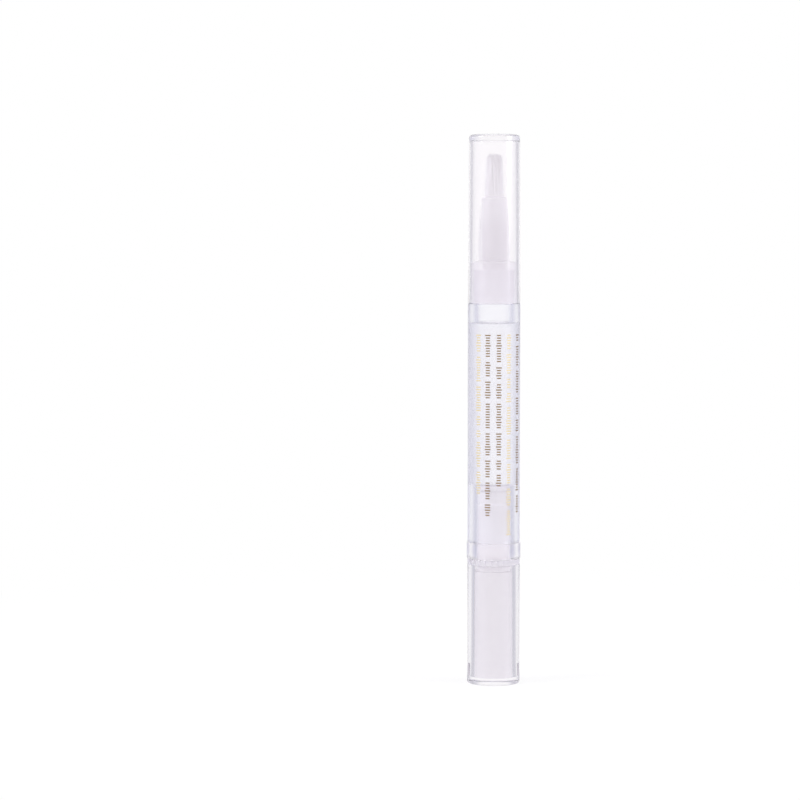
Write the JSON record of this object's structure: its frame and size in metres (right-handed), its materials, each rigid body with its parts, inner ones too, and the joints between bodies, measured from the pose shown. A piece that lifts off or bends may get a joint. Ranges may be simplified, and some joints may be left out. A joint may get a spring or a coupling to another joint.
{
  "type": "nail oil pen",
  "caption": "Clear twist pen for nail oil: a knob turns a screw drive whose piston pushes oil through a milky nozzle into a small brush under a pull-off cap.",
  "frame": {"origin": "centre of the twist knob's flat foot", "axes": "+Z along the pen's axis from the knob to the cap; X and Y square to it, with the first ratchet pawl rooted at +X"},
  "size_m": [0.0126, 0.0126, 0.128],
  "materials": {
    "clear_shell": "polished, clear",
    "milky_plastic": "satin, milky",
    "soft_plug": "satin",
    "white_plastic": "satin",
    "nylon": "fine fibres",
    "clear_tube": "smooth",
    "oil": "clear liquid"
  },
  "bodies": {
    "barrel": {"barrel": "clear_shell", "nozzle": "milky_plastic", "bristles": "nylon", "brush_root": "nylon", "brush_retainer": "white_plastic", "feed_tube": "clear_tube", "oil": "oil", "guide_sleeve": "milky_plastic", "ratchet_ring": "milky_plastic", "mid_ring": "clear_shell"},
    "cap": {"cap": "clear_shell"},
    "knob": {"knob": "clear_shell", "drive_nut": "milky_plastic"},
    "plunger": {"screw_rod": "white_plastic", "piston": "soft_plug"}
  },
  "joints": [
    {"name": "cap_pull", "type": "slide", "parent": "barrel", "child": "cap", "axis": [0, 0, 1], "range_m": [0, 0.045]},
    {"name": "knob_twist", "type": "hinge", "parent": "barrel", "child": "knob", "pos_m": [0, 0, 0.0294], "axis": [0, 0, 1], "range_deg": [0, 4320], "deforming": ["ratchet_ring"]},
    {"name": "plunger_advance", "type": "slide", "parent": "barrel", "child": "plunger", "axis": [0, 0, 1], "range_m": [0, 0.03], "deforming": ["oil"]}
  ],
  "couplings": [
    {"joint": "plunger_advance", "follows": "knob_twist", "m_per_rad": 0.00039789}
  ]
}
